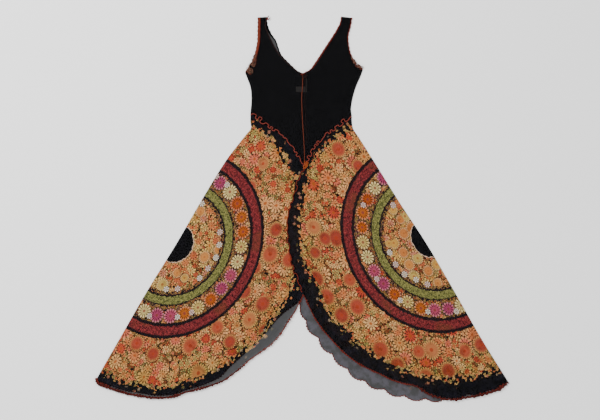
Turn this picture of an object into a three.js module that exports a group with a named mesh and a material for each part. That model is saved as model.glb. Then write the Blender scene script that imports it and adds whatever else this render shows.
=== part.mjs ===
import * as THREE from 'three';

// A long sleeveless V-neck dress of sheer mesh, laid flat with its front up.
// Millimetres: X runs across the dress, Y runs up to the neck, Z is height above the table.

// Cloth walls
const wall = 1.0;
const gap = 0.3;
const seamHalf = 0.2;
const backMid = wall / 2;
const frontMid = wall * 1.5 + gap;

// Lifts of the front layer
const hemLift = 2.6;
const labelLift = 2.8;
const labelReach = 62;

// Edgings
const hemBand = 7.0;
const neckBand = 4.0;
const armBand = 5.0;
const waistBand = 6.0;
const seamBand = 5.5;

// Grid steps
const waistSteps = 8;
const skirtSteps = 16;
const armRows = 7;
const sideRows = 6;
const foldArcs = [45, 90, 135];

// Share of the way from waist to hem at each row of the skirt
const skirtRows = [
  0, 0.015, 0.035, 0.055, 0.08, 0.12, 0.17, 0.23, 0.3, 0.38,
  0.46, 0.54, 0.62, 0.7, 0.78, 0.86, 0.93, 0.97, 1,
];

// Seam lines down the middle
const bodiceSeam = [
  { x: 3, y: 489 }, { x: 2, y: 445 }, { x: -1, y: 401 }, { x: 0, y: 355 },
  { x: 2, y: 311 }, { x: 6, y: 250 }, { x: 9, y: 190 }, { x: 8, y: 148 },
];
const skirtSeamFront = [
  { x: 8, y: 148 }, { x: 0, y: 131 }, { x: -13, y: 106 }, { x: -21, y: 70 },
  { x: -35, y: 31 }, { x: -49, y: -20 }, { x: -53, y: -70 }, { x: -49, y: -124 },
  { x: -41, y: -178 }, { x: -30, y: -221 }, { x: -13, y: -262 }, { x: 6, y: -317 },
];
const skirtSeamBack = [
  { x: 8, y: 148 }, { x: 5, y: 31 }, { x: -2, y: -113 }, { x: -9, y: -257 }, { x: -13, y: -342 },
];

// Outline stations of each half, from the shoulder down
const left = {
  sign: -1,
  shoulder: [{ x: -160, y: 688 }, { x: -125, y: 689 }],
  armhole: [
    { x: -160, y: 688 }, { x: -161, y: 643 }, { x: -163, y: 596 }, { x: -172, y: 556 },
    { x: -182, y: 529 }, { x: -194, y: 509 }, { x: -206, y: 491 },
  ],
  side: [
    { x: -206, y: 491 }, { x: -195, y: 464 }, { x: -185, y: 434 }, { x: -182, y: 391 },
    { x: -186, y: 338 },
  ],
  neckFront: [
    { x: -125, y: 689 }, { x: -130, y: 657 }, { x: -122, y: 632 }, { x: -111, y: 607 },
    { x: -97, y: 580 }, { x: -81, y: 556 }, { x: -62, y: 535 }, { x: -38, y: 513 },
    { x: -16, y: 495 }, { x: 3, y: 487 },
  ],
  neckBack: [
    { x: -125, y: 689 }, { x: -122, y: 661 }, { x: -110, y: 632 }, { x: -91, y: 603 },
    { x: -83, y: 578 }, { x: -73, y: 554 }, { x: -55, y: 534 }, { x: -33, y: 512 },
    { x: -14, y: 494 }, { x: 3, y: 485 },
  ],
  waist: [
    { x: -186, y: 338 }, { x: -162, y: 329 }, { x: -137, y: 310 }, { x: -112, y: 290 },
    { x: -86, y: 275 }, { x: -65, y: 257 }, { x: -43, y: 232 }, { x: -23, y: 203 },
    { x: -7, y: 175 }, { x: 8, y: 148 },
  ],
  fold: [
    { x: -186, y: 338 }, { x: -186, y: 311 }, { x: -184, y: 288 }, { x: -200, y: 268 },
    { x: -227, y: 234 }, { x: -272, y: 175 }, { x: -355, y: 41 }, { x: -452, y: -126 },
    { x: -560, y: -301 }, { x: -659, y: -473 }, { x: -747, y: -626 },
  ],
  hemFront: [
    { x: -747, y: -626 }, { x: -698, y: -645 }, { x: -641, y: -666 }, { x: -583, y: -677 },
    { x: -530, y: -685 }, { x: -468, y: -681 }, { x: -403, y: -661 }, { x: -338, y: -644 },
    { x: -281, y: -623 }, { x: -223, y: -580 }, { x: -166, y: -533 }, { x: -115, y: -498 },
    { x: -79, y: -460 }, { x: -50, y: -416 }, { x: -20, y: -368 }, { x: 6, y: -317 },
  ],
  hemBack: [
    { x: -747, y: -626 }, { x: -691, y: -641 }, { x: -634, y: -659 }, { x: -576, y: -668 },
    { x: -533, y: -675 }, { x: -468, y: -673 }, { x: -403, y: -652 }, { x: -346, y: -634 },
    { x: -295, y: -610 }, { x: -252, y: -567 }, { x: -194, y: -515 }, { x: -137, y: -459 },
    { x: -94, y: -408 }, { x: -56, y: -372 }, { x: -13, y: -342 },
  ],
};
const right = {
  sign: 1,
  shoulder: [{ x: 182, y: 686 }, { x: 140, y: 691 }],
  armhole: [
    { x: 182, y: 686 }, { x: 176, y: 653 }, { x: 168, y: 621 }, { x: 169, y: 596 },
    { x: 174, y: 567 }, { x: 184, y: 540 }, { x: 194, y: 522 }, { x: 207, y: 510 },
    { x: 220, y: 502 },
  ],
  side: [
    { x: 220, y: 502 }, { x: 212, y: 479 }, { x: 200, y: 452 }, { x: 189, y: 423 },
    { x: 180, y: 387 }, { x: 176, y: 358 }, { x: 179, y: 333 },
  ],
  neckFront: [
    { x: 140, y: 691 }, { x: 137, y: 668 }, { x: 126, y: 645 }, { x: 111, y: 619 },
    { x: 95, y: 594 }, { x: 79, y: 570 }, { x: 65, y: 548 }, { x: 50, y: 525 },
    { x: 32, y: 503 }, { x: 3, y: 487 },
  ],
  neckBack: [
    { x: 140, y: 691 }, { x: 135, y: 668 }, { x: 123, y: 644 }, { x: 107, y: 618 },
    { x: 91, y: 594 }, { x: 76, y: 571 }, { x: 61, y: 548 }, { x: 45, y: 524 },
    { x: 28, y: 501 }, { x: 3, y: 485 },
  ],
  waist: [
    { x: 179, y: 333 }, { x: 157, y: 320 }, { x: 135, y: 301 }, { x: 112, y: 283 },
    { x: 86, y: 265 }, { x: 63, y: 243 }, { x: 43, y: 218 }, { x: 29, y: 193 },
    { x: 18, y: 169 }, { x: 8, y: 148 },
  ],
  fold: [
    { x: 179, y: 333 }, { x: 180, y: 308 }, { x: 184, y: 287 }, { x: 202, y: 260 },
    { x: 230, y: 216 }, { x: 272, y: 149 }, { x: 355, y: 16 }, { x: 448, y: -126 },
    { x: 549, y: -299 }, { x: 652, y: -479 }, { x: 745, y: -628 },
  ],
  hemFront: [
    { x: 745, y: -628 }, { x: 705, y: -653 }, { x: 641, y: -674 }, { x: 587, y: -684 },
    { x: 540, y: -691 }, { x: 490, y: -684 }, { x: 440, y: -664 }, { x: 407, y: -641 },
    { x: 367, y: -634 }, { x: 331, y: -623 }, { x: 279, y: -599 }, { x: 233, y: -578 },
    { x: 187, y: -551 }, { x: 145, y: -518 }, { x: 104, y: -475 }, { x: 66, y: -430 },
    { x: 30, y: -372 }, { x: 6, y: -317 },
  ],
  hemBack: [
    { x: 745, y: -628 }, { x: 713, y: -648 }, { x: 655, y: -666 }, { x: 598, y: -676 },
    { x: 547, y: -688 }, { x: 482, y: -694 }, { x: 418, y: -691 }, { x: 348, y: -678 },
    { x: 285, y: -656 }, { x: 225, y: -630 }, { x: 171, y: -595 }, { x: 125, y: -552 },
    { x: 84, y: -512 }, { x: 45, y: -462 }, { x: 10, y: -415 }, { x: -13, y: -342 },
  ],
};

// Soft creases of the front layer: where each lies, which way it runs, and its size
const creases = [
  { x: -120, y: 420, turn: 35, length: 150, width: 44, height: 1.6 },
  { x: 118, y: 405, turn: -30, length: 150, width: 44, height: 1.4 },
  { x: -150, y: 150, turn: 62, length: 300, width: 90, height: 2.2 },
  { x: 150, y: 130, turn: -60, length: 300, width: 90, height: 2.0 },
  { x: -330, y: -330, turn: 50, length: 420, width: 130, height: 2.4 },
  { x: 300, y: -330, turn: -48, length: 420, width: 130, height: 2.4 },
  { x: -130, y: -200, turn: 84, length: 340, width: 100, height: 1.8 },
  { x: 90, y: -200, turn: -80, length: 340, width: 100, height: 1.8 },
];

// Neck labels: the pale one lies under the dark one
const labels = [
  { name: 'label_pale', x: -2, y: 444.5, w: 40, h: 51, z: 1.3, tone: 0xb9b2a8 },
  { name: 'label_dark', x: -6, y: 456, w: 40, h: 34, z: 2.6, tone: 0x141416 },
];

// Small helpers
const point = (p, z = 0) => new THREE.Vector3(p.x, p.y, z);
const ease = (t) => { const c = Math.min(1, Math.max(0, t)); return c * c * (3 - 2 * c); };

function curveThrough(rows) {
  const curve = new THREE.CatmullRomCurve3(rows.map((r) => point(r)), false, 'centripetal');
  curve.arcLengthDivisions = 600;
  return curve;
}

// Points along a smooth line at equal steps, or at the given shares of its length.
function along(rows, shares) {
  const curve = curveThrough(rows);
  const list = Array.isArray(shares) ? shares : Array.from({ length: shares + 1 }, (_, i) => i / shares);
  return list.map((s) => curve.getPointAt(s));
}

// The sideways direction of a line at each point, to the left of its travel.
function sideways(line) {
  return line.map((p, i) => {
    const a = line[Math.max(0, i - 1)];
    const b = line[Math.min(line.length - 1, i + 1)];
    return new THREE.Vector3(a.y - b.y, b.x - a.x, 0).normalize();
  });
}

function shifted(line, distance) {
  const out = sideways(line);
  return line.map((p, i) => p.clone().addScaledVector(out[i], distance));
}

// The point a share of the way through a line of straight steps.
function at(line, share) {
  const s = Math.min(line.length - 1, Math.max(0, share * (line.length - 1)));
  const k = Math.min(line.length - 2, Math.floor(s));
  return line[k].clone().lerp(line[k + 1], s - k);
}

// How far the front layer rises above the back one at a place.
function frontRise(p) {
  let rise = 0;
  for (const c of creases) {
    const a = THREE.MathUtils.degToRad(c.turn);
    const dx = p.x - c.x;
    const dy = p.y - c.y;
    const run = (dx * Math.cos(a) + dy * Math.sin(a)) / (c.length / 2);
    const off = (dy * Math.cos(a) - dx * Math.sin(a)) / (c.width / 2);
    rise += c.height * ease(1 - Math.abs(run)) * ease(1 - Math.abs(off));
  }
  const dx = Math.max(0, Math.abs(p.x + 4) - 52);
  const dy = Math.max(0, Math.abs(p.y - 450) - 52);
  return Math.max(rise, labelLift * ease(1 - Math.hypot(dx, dy) / labelReach));
}

// A grid filled in between four border lines that share their corners.
function fillGrid(top, bottom, start, end, columns) {
  const last = start.length - 1;
  return start.map((s, row) => {
    const v = row / last;
    return columns.map((u) => {
      const p = new THREE.Vector3();
      p.addScaledVector(at(top, u), 1 - v).addScaledVector(at(bottom, u), v);
      p.addScaledVector(s, 1 - u).addScaledVector(end[row], u);
      p.addScaledVector(start[0], -(1 - u) * (1 - v)).addScaledVector(end[0], -u * (1 - v));
      p.addScaledVector(start[last], -(1 - u) * v).addScaledVector(end[last], -u * v);
      return p;
    });
  });
}

// A closed body from two matching grids, one for each face of the cloth.
function bodyBetween(upper, lower) {
  const rows = upper.length;
  const cols = upper[0].length;
  const spots = [...upper.flat(), ...lower.flat()];
  const up = (r, c) => r * cols + c;
  const down = (r, c) => rows * cols + r * cols + c;
  const faces = [];
  const quad = (a, b, c, d) => faces.push(a, b, c, a, c, d);
  for (let r = 0; r < rows - 1; r++) {
    for (let c = 0; c < cols - 1; c++) {
      quad(up(r, c), up(r + 1, c), up(r + 1, c + 1), up(r, c + 1));
      quad(down(r, c), down(r, c + 1), down(r + 1, c + 1), down(r + 1, c));
    }
    quad(up(r, 0), down(r, 0), down(r + 1, 0), up(r + 1, 0));
    quad(up(r + 1, cols - 1), down(r + 1, cols - 1), down(r, cols - 1), up(r, cols - 1));
  }
  for (let c = 0; c < cols - 1; c++) {
    quad(up(0, c + 1), down(0, c + 1), down(0, c), up(0, c));
    quad(up(rows - 1, c), down(rows - 1, c), down(rows - 1, c + 1), up(rows - 1, c + 1));
  }
  let volume = 0;
  for (let i = 0; i < faces.length; i += 3) {
    const [a, b, c] = [spots[faces[i]], spots[faces[i + 1]], spots[faces[i + 2]]];
    volume += a.dot(b.clone().cross(c));
  }
  if (volume < 0) faces.reverse();
  const geometry = new THREE.BufferGeometry().setFromPoints(spots);
  geometry.setIndex(faces);
  geometry.computeVertexNormals();
  return geometry;
}

// A cloth wall around a grid of points that run through the middle of the cloth.
function clothWall(grid) {
  const normal = (r, c) => {
    const row = grid[r];
    const a = row[Math.max(0, c - 1)];
    const b = row[Math.min(row.length - 1, c + 1)];
    const d = grid[Math.max(0, r - 1)][c];
    const e = grid[Math.min(grid.length - 1, r + 1)][c];
    return b.clone().sub(a).cross(e.clone().sub(d)).normalize();
  };
  const face = (h) => grid.map((row, r) => row.map((p, c) => p.clone().addScaledVector(normal(r, c), h)));
  return bodyBetween(face(wall / 2), face(-wall / 2));
}

// A narrow wavy band that carries on from the edge of a cloth panel.
// The edge runs through the middle of the cloth; turn is +1 or -1 for the side the band lies on.
function edgeBand(edge, spec) {
  const out = sideways(edge);
  const count = (edge.length - 1) * spec.perStep;
  const upper = [];
  const lower = [];
  for (let i = 0; i <= count; i++) {
    const t = i / count;
    if (t < (spec.from ?? 0) || t > (spec.to ?? 1)) continue;
    const p = at(edge, t);
    const n = at(out, t).normalize().multiplyScalar(spec.turn);
    const fade = ease(Math.min(t, 1 - t) / 0.05);
    const beat = Math.sin(t * Math.PI * 2 * spec.waves);
    const scallop = spec.scallops ? Math.abs(Math.sin(t * Math.PI * spec.scallops)) : 0;
    const reach = spec.width + (spec.scallopDepth ?? 0) * scallop * fade;
    const inner = p.clone().addScaledVector(n, gap);
    const outer = p.clone().addScaledVector(n, gap + reach + spec.sway * beat * fade);
    outer.z += spec.rise * (0.5 - 0.5 * Math.sin(t * Math.PI * 2 * spec.waves + 1.2)) * fade;
    for (const q of [inner, outer]) {
      if (spec.half < 0) q.x = Math.min(q.x, spec.seamX);
      if (spec.half > 0) q.x = Math.max(q.x, spec.seamX);
    }
    const lift = new THREE.Vector3(0, 0, wall / 2);
    upper.push([inner.clone().add(lift), outer.clone().add(lift)]);
    lower.push([inner.clone().sub(lift), outer.clone().sub(lift)]);
  }
  return bodyBetween(upper, lower);
}

// A wavy frill that stands along a seam, on top of the cloth.
function seamFrill(line, spec) {
  const out = sideways(line);
  const count = spec.waves * 4;
  const upper = [];
  const lower = [];
  for (let i = 0; i <= count; i++) {
    const t = spec.from + (spec.to - spec.from) * (i / count);
    const p = at(line, t);
    const n = at(out, t).normalize();
    const beat = Math.sin((i / count) * Math.PI * 2 * spec.waves);
    const dip = Math.cos((i / count) * Math.PI * 2 * spec.waves);
    const base = wall * 2.5 + gap * 2 + 0.1 + spec.lift;
    const inner = p.clone().addScaledVector(n, spec.sway * beat - spec.width / 2).setZ(base);
    const outer = p.clone().addScaledVector(n, spec.sway * beat + spec.width / 2);
    outer.setZ(base + spec.rise * (0.5 + 0.5 * dip));
    const lift = new THREE.Vector3(0, 0, wall / 2);
    upper.push([inner.clone().add(lift), outer.clone().add(lift)]);
    lower.push([inner.clone().sub(lift), outer.clone().sub(lift)]);
  }
  return bodyBetween(upper, lower);
}

// The bodice half: outer border down the armhole and side, inner border down the neck and seam.
function bodiceGrid(half, layer) {
  const s = half.sign;
  const neck = layer === 'front' ? half.neckFront : half.neckBack;
  const seamX = s * seamHalf;
  const arm = shifted(along(half.armhole, armRows), -s * (armBand + gap));
  const side = along(half.side, sideRows).slice(1);
  const neckLine = shifted(along(neck, armRows), s * (neckBand + gap));
  const seam = along(bodiceSeam, sideRows).slice(1).map((p) => p.setX(p.x + seamX));
  const foot = neckLine[armRows];
  foot.set(bodiceSeam[0].x + seamX, neck[neck.length - 1].y - neckBand * 1.35 - gap, 0);
  const outer = [...arm, ...side];
  const inner = [...neckLine, ...seam];
  const waist = along(half.waist, waistSteps);
  waist[waistSteps] = inner[inner.length - 1].clone();
  waist[0] = outer[outer.length - 1].clone();
  const shoulder = [outer[0], inner[0]];
  const columns = Array.from({ length: waistSteps + 1 }, (_, i) => i / waistSteps);
  const grid = fillGrid(shoulder, waist, outer, inner, columns);
  for (const p of grid.flat()) p.z = layer === 'front' ? frontMid + frontRise(p) : backMid;
  return grid;
}

// The waist edge of the skirt, a seam gap below the bodice.
function skirtWaist(half) {
  const line = along(half.waist, waistSteps);
  const low = shifted(line, half.sign * gap);
  low[waistSteps].set(line[waistSteps].x + half.sign * seamHalf, line[waistSteps].y - 0.9, 0);
  low[0].y -= 0.25;
  return low;
}

// A hem line pulled in by the width of its band, with its end on the side fold and its other
// end on the seam.
function hemLine(half, rows, foot, seamFoot) {
  const line = shifted(along(rows, skirtSteps), half.sign * (hemBand + gap) * -1);
  line[0] = foot.clone();
  line[skirtSteps] = seamFoot.clone();
  return line;
}

function cutLine(rows, shares, short) {
  const curve = curveThrough(rows);
  const keep = 1 - short / curve.getLength();
  return shares.map((s) => curve.getPointAt(s * keep));
}

// The skirt half: one cloth from the back seam, round the side fold, to the front seam.
function skirtGrid(half) {
  const s = half.sign;
  const waist = skirtWaist(half);
  const foldOutline = cutLine(half.fold, skirtRows, hemBand * 0.5);
  foldOutline[0] = waist[0].clone();
  const outward = sideways(foldOutline).map((n) => n.multiplyScalar(s));
  outward[0] = waist[0].clone().sub(waist[1]).normalize();
  const lift = skirtRows.map((v) => hemLift * ease((v - 0.78) / 0.15));
  const radius = lift.map((h) => (wall + gap + h) / 2);
  const fold = foldOutline.map((p, r) => p.clone().addScaledVector(outward[r], -(radius[r] + wall / 2)));
  waist[0] = fold[0].clone();
  const columns = Array.from({ length: skirtSteps + 1 }, (_, i) => i / skirtSteps);
  const layer = (seamRows, hemRows, short) => {
    const seam = cutLine(seamRows, skirtRows, short).map((p) => p.setX(p.x + s * seamHalf));
    seam[0] = waist[waistSteps].clone();
    const hem = hemLine(half, hemRows, fold[fold.length - 1], seam[seam.length - 1]);
    return fillGrid(waist, hem, fold, seam, columns);
  };
  const front = layer(skirtSeamFront, half.hemFront, 16);
  const back = layer(skirtSeamBack, half.hemBack, 13);
  const grid = front.map((row, r) => {
    const fade = (c) => ease(c / 2);
    for (const [c, p] of row.entries()) p.z = frontMid + lift[r] + frontRise(p) * fade(c);
    for (const p of back[r]) p.z = backMid;
    const bend = foldArcs.map((deg) => {
      const a = THREE.MathUtils.degToRad(deg);
      const p = fold[r].clone().addScaledVector(outward[r], radius[r] * Math.sin(a));
      return p.setZ(backMid + radius[r] + radius[r] * Math.cos(a));
    });
    return [...row.slice().reverse(), ...bend, ...back[r]];
  });
  return { grid, front, back };
}

// Assembly
const cloth = (color) => new THREE.MeshStandardMaterial({ color, roughness: 0.85, metalness: 0 });
const dress = new THREE.Group();
dress.name = 'mesh_dress';

function add(name, geometry, color) {
  const mesh = new THREE.Mesh(geometry, cloth(color));
  mesh.name = name;
  dress.add(mesh);
}

for (const half of [left, right]) {
  const side = half === left ? 'left' : 'right';
  const s = half.sign;
  for (const layer of ['front', 'back']) {
    const grid = bodiceGrid(half, layer);
    add(`${layer}_bodice_${side}`, clothWall(grid), 0x121214);
    const rise = layer === 'front' ? 1 : 0;
    const armEdge = grid.slice(0, armRows + 1).map((row) => row[0].clone());
    const neckEdge = grid.slice(0, armRows + 1).map((row) => row[waistSteps].clone());
    add(`armhole_edge_${layer}_${side}`, edgeBand(armEdge, {
      turn: s, width: armBand - 1, waves: 7, perStep: 4, sway: 1, rise: 2.4 * rise, to: 0.98,
    }), 0xa8452a);
    add(`neck_edge_${layer}_${side}`, edgeBand(neckEdge, {
      turn: -s, width: neckBand - 0.6, waves: 7, perStep: 4, sway: 0.6, rise: 1.8 * rise,
      half: s, seamX: neckEdge[armRows].x,
    }), 0xa8452a);
  }

  const skirt = skirtGrid(half);
  add(`skirt_${side}`, clothWall(skirt.grid), 0x6b3f28);
  const last = skirtRows.length - 1;
  add(`hem_frill_front_${side}`, edgeBand(skirt.front[last], {
    turn: s, width: hemBand - 1, waves: 24, perStep: 6, sway: 1, rise: 4.2,
    half: s, seamX: skirt.front[last][skirtSteps].x,
  }), 0xa8452a);
  add(`hem_frill_back_${side}`, edgeBand(skirt.back[last], {
    turn: s, width: hemBand - 1, waves: 24, perStep: 6, sway: 1, rise: 1.9,
    scallops: s > 0 ? 13 : 0, scallopDepth: s > 0 ? 6 : 0,
    half: s, seamX: skirt.back[last][skirtSteps].x,
  }), 0xa8452a);
  add(`waist_frill_${side}`, seamFrill(along(half.waist, waistSteps * 3), {
    waves: 11, from: 0.015, to: 0.965, width: waistBand, sway: 3.6, rise: 3.2, lift: 0,
  }), 0xa8452a);
}

add('skirt_seam_frill', seamFrill(along(skirtSeamFront, 36), {
  waves: 12, from: 0.05, to: 0.93, width: seamBand, sway: 3, rise: 3, lift: hemLift,
}), 0xa8452a);

for (const l of labels) {
  const corner = (x, y, z) => new THREE.Vector3(l.x + x * l.w / 2, l.y + y * l.h / 2, z);
  const face = (z) => [[corner(-1, 1, z), corner(1, 1, z)], [corner(-1, -1, z), corner(1, -1, z)]];
  add(l.name, bodyBetween(face(l.z + wall), face(l.z)), l.tone);
}

// The part's own origin: the middle of its box at the table.
const box = new THREE.Box3().setFromObject(dress);
const middle = box.getCenter(new THREE.Vector3());
for (const mesh of dress.children) mesh.geometry.translate(-middle.x, -middle.y, -box.min.z);

export default dress;
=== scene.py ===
import math
import random

import bmesh
import bpy
import numpy as np
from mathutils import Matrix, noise


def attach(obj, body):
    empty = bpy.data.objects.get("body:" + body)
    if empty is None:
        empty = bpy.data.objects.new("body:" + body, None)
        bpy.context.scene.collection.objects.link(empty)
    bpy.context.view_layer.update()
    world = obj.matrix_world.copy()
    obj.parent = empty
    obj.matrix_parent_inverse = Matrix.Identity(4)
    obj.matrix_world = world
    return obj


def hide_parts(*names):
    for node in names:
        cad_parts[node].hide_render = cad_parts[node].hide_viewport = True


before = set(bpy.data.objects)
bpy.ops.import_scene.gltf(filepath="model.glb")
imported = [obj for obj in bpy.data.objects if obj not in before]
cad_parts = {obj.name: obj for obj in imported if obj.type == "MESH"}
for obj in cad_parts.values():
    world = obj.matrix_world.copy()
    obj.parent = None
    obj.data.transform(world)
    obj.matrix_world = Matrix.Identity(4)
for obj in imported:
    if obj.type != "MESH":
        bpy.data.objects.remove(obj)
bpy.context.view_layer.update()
random.seed(11)

# Sizes in millimetres, in the drawing's own coordinates; SHIFT moves them to the part's origin.
SHIFT = np.array([0.686, 3.558])
BACK_Z = 0.55
FRONT_Z = 1.8
HEM_LIFT = 2.6
# How far the front cloth is cut back from the armhole, the neck and the hem, for their bound edges
ARMHOLE_BACK, NECK_BACK, HEM_BACK = 3.4, 3.0, 4.6
# The front cloth rises over the labels: height, middle, half the width of the flat top, reach of the slope
LABEL_LIFT, LABEL_MIDDLE, LABEL_HALF, LABEL_REACH = 2.8, (-4, 450), 52, 62

BODICE_SEAM = [(3, 489), (2, 445), (-1, 401), (0, 355), (2, 311), (6, 250), (9, 190), (8, 148)]
SKIRT_SEAM_FRONT = [(8, 148), (0, 131), (-13, 106), (-21, 70), (-35, 31), (-49, -20), (-53, -70),
                    (-49, -124), (-41, -178), (-30, -221), (-13, -262), (6, -317)]
SKIRT_SEAM_BACK = [(8, 148), (5, 31), (-2, -113), (-9, -257), (-13, -342)]

LEFT = {
    "name": "left", "sign": -1,
    "armhole": [(-160, 688), (-161, 643), (-163, 596), (-172, 556), (-182, 529), (-194, 509), (-206, 491)],
    "side": [(-206, 491), (-195, 464), (-185, 434), (-182, 391), (-186, 338)],
    "neck_front": [(-125, 689), (-130, 657), (-122, 632), (-111, 607), (-97, 580), (-81, 556),
                   (-62, 535), (-38, 513), (-16, 495), (3, 487)],
    "neck_back": [(-125, 689), (-122, 661), (-110, 632), (-91, 603), (-83, 578), (-73, 554),
                  (-55, 534), (-33, 512), (-14, 494), (3, 485)],
    "waist": [(-186, 338), (-162, 329), (-137, 310), (-112, 290), (-86, 275), (-65, 257),
              (-43, 232), (-23, 203), (-7, 175), (8, 148)],
    "fold": [(-186, 338), (-186, 311), (-184, 288), (-200, 268), (-227, 234), (-272, 175),
             (-355, 41), (-452, -126), (-560, -301), (-659, -473), (-747, -626)],
    "hem_front": [(-747, -626), (-698, -645), (-641, -666), (-583, -677), (-530, -685), (-468, -681),
                  (-403, -661), (-338, -644), (-281, -623), (-223, -580), (-166, -533), (-115, -498),
                  (-79, -460), (-50, -416), (-20, -368), (6, -317)],
    "hem_back": [(-747, -626), (-691, -641), (-634, -659), (-576, -668), (-533, -675), (-468, -673),
                 (-403, -652), (-346, -634), (-295, -610), (-252, -567), (-194, -515), (-137, -459),
                 (-94, -408), (-56, -372), (-13, -342)],
    "medallion": (-452, -126), "seed": 3.0, "sag": 0.012, "dip": (-0.6, 0.045),
}
RIGHT = {
    "name": "right", "sign": 1,
    "armhole": [(182, 686), (176, 653), (168, 621), (169, 596), (174, 567), (184, 540), (194, 522),
                (207, 510), (220, 502)],
    "side": [(220, 502), (212, 479), (200, 452), (189, 423), (180, 387), (176, 358), (179, 333)],
    "neck_front": [(140, 691), (137, 668), (126, 645), (111, 619), (95, 594), (79, 570), (65, 548),
                   (50, 525), (32, 503), (3, 487)],
    "neck_back": [(140, 691), (135, 668), (123, 644), (107, 618), (91, 594), (76, 571), (61, 548),
                  (45, 524), (28, 501), (3, 485)],
    "waist": [(179, 333), (157, 320), (135, 301), (112, 283), (86, 265), (63, 243), (43, 218),
              (29, 193), (18, 169), (8, 148)],
    "fold": [(179, 333), (180, 308), (184, 287), (202, 260), (230, 216), (272, 149), (355, 16),
             (448, -126), (549, -299), (652, -479), (745, -628)],
    "hem_front": [(745, -628), (705, -653), (641, -674), (587, -684), (540, -691), (490, -684),
                  (440, -664), (407, -641), (367, -634), (331, -623), (279, -599), (233, -578),
                  (187, -551), (145, -518), (104, -475), (66, -430), (30, -372), (6, -317)],
    "hem_back": [(745, -628), (713, -648), (655, -666), (598, -676), (547, -688), (482, -694),
                 (418, -691), (348, -678), (285, -656), (225, -630), (171, -595), (125, -552),
                 (84, -512), (45, -462), (10, -415), (-13, -342)],
    "medallion": (454, -107), "seed": 8.0, "sag": 0.006, "dip": (-1.5, 0.03),
}

# Soft creases of the front layer: x, y, turn in degrees, length, width, height
CREASES = [(-120, 420, 35, 150, 44, 1.6), (118, 405, -30, 150, 44, 1.4), (-150, 150, 62, 300, 90, 2.2),
           (150, 130, -60, 300, 90, 2.0), (-330, -330, 50, 420, 130, 2.4), (300, -330, -48, 420, 130, 2.4),
           (-130, -200, 84, 340, 100, 1.8), (90, -200, -80, 340, 100, 1.8)]


# Lines and grids

def ease(t):
    c = np.clip(t, 0.0, 1.0)
    return c * c * (3 - 2 * c)


def smooth_line(rows, steps_each=24):
    """A centripetal spline through the rows, as many close points."""
    p = np.array(rows, float)
    p = np.vstack([2 * p[0] - p[1], p, 2 * p[-1] - p[-2]])
    out = []
    for i in range(1, len(p) - 2):
        a, b, c, d = p[i - 1:i + 3]
        d0, d1, d2 = [max(np.linalg.norm(v) ** 0.5, 1e-6) for v in (b - a, c - b, d - c)]
        t1 = ((b - a) / d0 - (c - a) / (d0 + d1) + (c - b) / d1) * d1
        t2 = ((c - b) / d1 - (d - b) / (d1 + d2) + (d - c) / d2) * d1
        t = np.linspace(0, 1, steps_each, endpoint=False)[:, None]
        out.append((2 * t**3 - 3 * t**2 + 1) * b + (t**3 - 2 * t**2 + t) * t1
                   + (3 * t**2 - 2 * t**3) * c + (t**3 - t**2) * t2)
    out.append(p[-2:-1])
    return np.vstack(out)


def run_along(line):
    """The length of a line up to each of its points."""
    return np.concatenate([[0], np.cumsum(np.linalg.norm(np.diff(line, axis=0), axis=1))])


def resample(line, shares):
    """Points at the given shares of a line's length."""
    line = np.asarray(line, float)
    run = run_along(line)
    s = np.asarray(shares) * run[-1]
    return np.stack([np.interp(s, run, line[:, k]) for k in range(line.shape[1])], axis=1)


def length_of(line):
    return float(np.linalg.norm(np.diff(np.asarray(line), axis=0), axis=1).sum())


def sideways(line):
    """The direction to the left of travel at each point."""
    d = np.gradient(np.asarray(line, float)[:, :2], axis=0)
    d /= np.linalg.norm(d, axis=1)[:, None] + 1e-9
    return np.stack([-d[:, 1], d[:, 0]], axis=1)


def fill_grid(top, bottom, start, end, u, v):
    """Rows of points between four border lines that share their corners."""
    t, b = resample(top, u), resample(bottom, u)
    u_, v_ = np.asarray(u)[None, :, None], np.asarray(v)[:, None, None]
    grid = (1 - v_) * t[None] + v_ * b[None] + (1 - u_) * start[:, None] + u_ * end[:, None]
    grid -= ((1 - u_) * (1 - v_) * start[0] + u_ * (1 - v_) * end[0]
             + (1 - u_) * v_ * start[-1] + u_ * v_ * end[-1])
    return grid


def crease_height(p):
    x, y = p[..., 0], p[..., 1]
    rise = np.zeros(x.shape)
    for cx, cy, turn, length, width, height in CREASES:
        a = math.radians(turn)
        run = ((x - cx) * math.cos(a) + (y - cy) * math.sin(a)) / (length / 2)
        off = ((y - cy) * math.cos(a) - (x - cx) * math.sin(a)) / (width / 2)
        rise += height * ease(1 - np.abs(run)) * ease(1 - np.abs(off))
    dx = np.maximum(0, np.abs(x - LABEL_MIDDLE[0]) - LABEL_HALF)
    dy = np.maximum(0, np.abs(y - LABEL_MIDDLE[1]) - LABEL_HALF)
    return np.maximum(rise, LABEL_LIFT * ease(1 - np.hypot(dx, dy) / LABEL_REACH))


def soft_noise(p, size, seed):
    """Smooth noise from -1 to 1 over a grid of points."""
    flat = p.reshape(-1, p.shape[-1])
    vals = [noise.noise((a / size, b / size, seed)) for a, b in flat[:, :2]]
    return np.array(vals).reshape(p.shape[:-1])


# Meshes

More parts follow.
